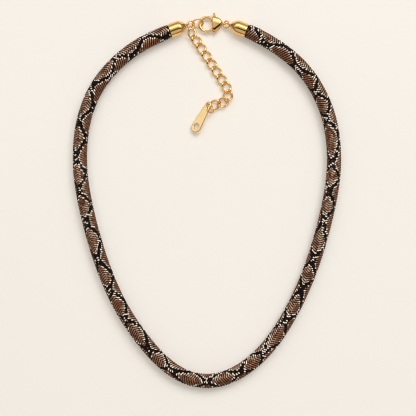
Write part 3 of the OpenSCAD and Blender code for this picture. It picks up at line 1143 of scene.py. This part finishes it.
def smooth_rows(table, steps):
    """Rows in between those of a table, on a curve that passes through them."""
    rows = [np.array(row, float) for row in (table[0], *table, table[-1])]
    fine = []
    for a, b, c, d in zip(rows, rows[1:], rows[2:], rows[3:]):
        for t in np.arange(steps) / steps:
            fine.append(0.5 * (2 * b + (c - a) * t + (2 * a - 5 * b + 4 * c - d) * t * t
                               + (3 * b - 3 * c + d - a) * t ** 3))
    return fine + [rows[-1]]


def claw_ring(row):
    """One cross section of the claw, across its arc."""
    angle, half_w, half_t = (float(value) for value in row)
    out = Vector((math.cos(math.radians(angle)), math.sin(math.radians(angle)), 0))
    return [(CLAW_R + half_w * math.cos(b)) * out + Vector((0, 0, -half_t * math.sin(b)))
            for b in angles(CLAW_SIDES)]


def body_ring(row):
    """One cross section of the body, a rounded box."""
    x, low, high, half_t = row
    ring = []
    for b in angles(BODY_SIDES):
        c, s = math.cos(b), math.sin(b)
        ring.append((
            x, (low + high) / 2 + (high - low) / 2 * math.copysign(abs(c) ** SIDE_POWER, c),
            half_t * math.copysign(abs(s) ** FACE_POWER, s)))
    return ring


# %% [markdown]
# What is cut out of the casting has its own sizes. The claw's tip ends on a circle about the pin,
# just clear of the lever's end, and the slot is a little wider than the lever.

# %% Clasp cutters
PIVOT = (4.5, 0.2)
BORE_R = 0.49
GATE_REACH = 6.1
TIP_GAP = 0.15
TIP_BOX = ((-1.7, -4.5, -3), (1.5, -1.6, 3))
LEVER_T = 1.1
LEVER_GAP = 0.12
SLOT_FROM, SLOT_TO = 2, 6
SLOT_HALF_HEIGHT = 5
CUT_HALF_LENGTH = 4
# The groove's ends: x, y, radius
GROOVE_TOP, GROOVE_LOW = (6.5, 0.4, 0.18), (3.4, -2.25, 0.42)
GROOVE_FLOOR = 1.05
GROOVE_CUT = 3


def on_pivot(name, radius):
    """A round cutter on the lever's axis."""
    half = CUT_HALF_LENGTH
    cutter = lathe(name, [(-half, 0), (-half, radius), (half, radius), (half, 0)], sides=96)
    place(cutter, shift(*PIVOT, 0), turn(90, "Y"))
    return cutter


def tip_cutter():
    """What the claw's tip has to leave free for the lever."""
    tip = block("tip", *TIP_BOX)
    join(tip, on_pivot("reach", GATE_REACH + TIP_GAP), "INTERSECT")
    return tip


def slot_cutter():
    """The slot that the lever turns in."""
    half = LEVER_T / 2 + LEVER_GAP
    return block("slot", (SLOT_FROM, -SLOT_HALF_HEIGHT, -half), (SLOT_TO, SLOT_HALF_HEIGHT, half))


def groove_cutter(side):
    """The tapered groove in one face of the body."""
    (x0, y0, r0), (x1, y1, r1) = GROOVE_TOP, GROOVE_LOW
    length = math.hypot(x1 - x0, y1 - y0)
    outline = drop_outline(length / 2, r0, -length / 2, r1, steps=12)
    cutter = skin("groove", [[(x, y, z) for x, y in outline] for z in (0, GROOVE_CUT)])
    lean = math.degrees(math.atan2(y0 - y1, x0 - x1)) - 90
    low = GROOVE_FLOOR if side > 0 else -GROOVE_FLOOR - GROOVE_CUT
    place(cutter, shift((x0 + x1) / 2, (y0 + y1) / 2, low), turn(lean, "Z"))
    return cutter


# %% Clasp body
CLASP_EYE_AT = 7.5
CLAW_END = 3
LEVEL_NORMAL = 0.99
FLOOR_SLACK = 0.01


def place_clasp(piece):
    place(piece, shift(*CLASP_AT), turn(CLASP_TURN, "Z"))


def in_groove(face):
    """Whether a face of the casting, before it is placed, is the floor of a groove."""
    off_floor = abs(abs(face.center.z) / MM - GROOVE_FLOOR)
    level = abs(face.normal.z) > LEVEL_NORMAL
    return level and off_floor < FLOOR_SLACK and face.center.x > CLAW_END * MM


def make_clasp_body():
    casting = skin("clasp_casting", [claw_ring(row) for row in smooth_rows(CLAW, steps=6)])
    join(casting, tip_cutter(), "DIFFERENCE")
    join(casting, skin("body", [body_ring(row) for row in smooth_rows(BODY, steps=5)]), "UNION")
    solder_eye(casting, CLASP_EYE_AT)
    join(casting, slot_cutter(), "DIFFERENCE")
    join(casting, on_pivot("bore", BORE_R), "DIFFERENCE")
    for side in (-1, 1):
        join(casting, groove_cutter(side), "DIFFERENCE")
    # Painted shade: the floors of the grooves get the near-black finish.
    dark = [int(in_groove(face)) for face in casting.data.polygons]
    place_clasp(casting)
    polish(casting, clasp_gold)
    casting.data.materials.append(groove_shade)
    casting.data.polygons.foreach_set("material_index", dark)
    settle(casting, "gold", "clasp_body")
    print("faces in the grooves:", sum(dark))


make_clasp_body()

# %% [markdown]
# ## Lever and pin
#
# The lever is stamped flat, and its packed outline is already right. A copy of that solid has its
# loose triangles merged, its flat faces made whole again, and its edges rounded by a bevel. The pin
# is turned, with both heads peened round.

# %% Lever and pin
EDGE_ROUND = 0.3 * MM
PIN_R = 0.45
PIN_HALF = 1.4
HEAD_AT = 1.45
HEAD_END = 1.55
HEAD_FLAT_R = 0.33


def make_lever():
    lever = show("clasp_thumb_lever", frame["nodes"]["clasp_lever"].data.copy())
    shape = bmesh.new()
    shape.from_mesh(lever.data)
    bmesh.ops.remove_doubles(shape, verts=shape.verts, dist=0.002 * MM)
    bmesh.ops.dissolve_limit(
        shape, angle_limit=math.radians(1), verts=shape.verts, edges=shape.edges)
    shape.to_mesh(lever.data)
    shape.free()
    modify(lever, "BEVEL", width=EDGE_ROUND, segments=4, limit_method="ANGLE",
           angle_limit=math.radians(50))
    polish(lever, clasp_gold, sharp=40)
    settle(lever, "gold", "clasp_lever")


def make_pin():
    head = arc(HEAD_AT, HEAD_FLAT_R, HEAD_END - HEAD_AT, PIN_R - HEAD_FLAT_R, 90, 0, steps=5)
    right = [(PIN_HALF, PIN_R)] + head + [(HEAD_END, HEAD_FLAT_R / 2), (HEAD_END, 0)]
    pin = lathe("clasp_rivet", [(-x, r) for x, r in reversed(right)] + [(0, PIN_R)] + right, sides=40)
    place(pin, shift(*PIVOT, 0), turn(90, "Y"))
    place_clasp(pin)
    polish(pin, tag_gold)
    settle(pin, "bright_gold", "clasp_pin")


make_lever()
make_pin()

# %% [markdown]
# ## Table and light
#
# The necklace lies on a smooth pale surface. A wide soft key stands beyond the clasp and a smaller
# window to its right, with a fill between them, so short shadows fall towards the viewer and a
# little to the left. A warm lift from overhead casts none, which keeps the others faint and warm.
# Polished gold shows its form only where something dark stands beside something bright. So fill and
# lift are hidden from reflections, and a small low panel is what the tag's tilted face reflects.

# %% Table
TABLE_HALF = 2400
TABLE_LOW, TABLE_HIGH = -12, -0.02
PAPER_DARK, PAPER_LIGHT = (0.80, 0.764, 0.718, 1), (0.83, 0.797, 0.752, 1)


def make_table():
    table = block(
        "table", (-TABLE_HALF, -TABLE_HALF, TABLE_LOW), (TABLE_HALF, TABLE_HALF, TABLE_HIGH))
    material, tree, shader = new_material("table paper", {"Roughness": 0.7})
    cloud = noise(place_on_piece(tree), scale=6, detail=2)
    blend(cloud, PAPER_DARK, PAPER_LIGHT).into(shader["Base Color"])
    table.data.materials.append(material)


make_table()

# %% Lights
DAYLIGHT = (0.94, 0.97, 1)
LAMPLIGHT = (1, 0.955, 0.88)


def panel(name, stands_at, size, watts, colour=DAYLIGHT, mirrored=True, shadow=True):
    """A soft light panel that faces the middle of the necklace."""
    light = bpy.data.lights.new(name, "AREA")
    light.shape = "RECTANGLE"
    light.size, light.size_y = size
    light.energy = watts
    light.color = colour
    light.use_shadow = shadow
    lamp = show(name, light)
    lamp.location = stands_at
    lamp.rotation_euler = (-Vector(stands_at)).to_track_quat("-Z", "Y").to_euler()
    lamp.visible_glossy = mirrored


panel("key", (0.15, 0.98, 1.51), (3.0, 0.96), 12)
panel("window", (0.74, 0.89, 1.38), (0.8, 0.8), 4.5)
panel("low side", (-1.12, 0.63, 0.99), (0.4, 0.4), 0.2)
panel("fill", (0.35, 1.1, 1.7), (1.2, 1.2), 9, mirrored=False)
panel("lift", (0, 0, 2.2), (3.5, 3.5), 40, LAMPLIGHT, mirrored=False, shadow=False)
print("panels:", [light.name for light in bpy.data.lights])

# %% [markdown]
# The room is pale, but dark near the floor and in one slit overhead, and the gold mirrors both. The
# room gives matt surfaces less light than it shows in the gold, because light from all round would
# darken both sides of the cord, and on the real table only one side is dark. The camera sees a pale
# backdrop wherever it looks past the table.

# %% Room
ROOM_BRIGHT, ROOM_DARK = 0.66, 0.02
BACKDROP = 0.85
ON_MATT = 0.35
SLIT_AT, SLIT_WIDTH = math.radians(-17), math.radians(14)
SLIT_STEEPNESS = 3
SKIRTING = 0.4
ROOM_WHITE = (1, 0.98, 0.95, 1)
ROOM_WARM = (1, 0.9, 0.78, 1)


def make_room():
    world = bpy.data.worlds.new("room")
    world.use_nodes = True
    tree = world.node_tree
    way = add(tree, "ShaderNodeTexCoord", out="Generated")
    y = add(tree, "ShaderNodeSeparateXYZ", [way], out="Y")
    z = y.also("Z")
    off_slit = calc("ABSOLUTE", calc("ARCTAN2", y, z) - SLIT_AT)
    beside = calc("MINIMUM", off_slit / SLIT_WIDTH, 1) ** SLIT_STEEPNESS
    level = beside * clamp(z / SKIRTING) * (ROOM_BRIGHT - ROOM_DARK) + ROOM_DARK
    seen = add(tree, "ShaderNodeLightPath", out="Is Camera Ray")
    matt = seen.also("Is Diffuse Ray")
    level = level * (matt * (ON_MATT - 1) + 1)
    background = tree.nodes["Background"].inputs
    calc("MAXIMUM", level, seen * BACKDROP).into(background["Strength"])
    blend(matt, ROOM_WHITE, ROOM_WARM).into(background["Color"])
    return world


bpy.context.scene.world = make_room()
bpy.context.scene.view_settings.view_transform = "Standard"
bpy.context.scene.cycles.filter_width = 1.1
print("room:", bpy.context.scene.world.name)
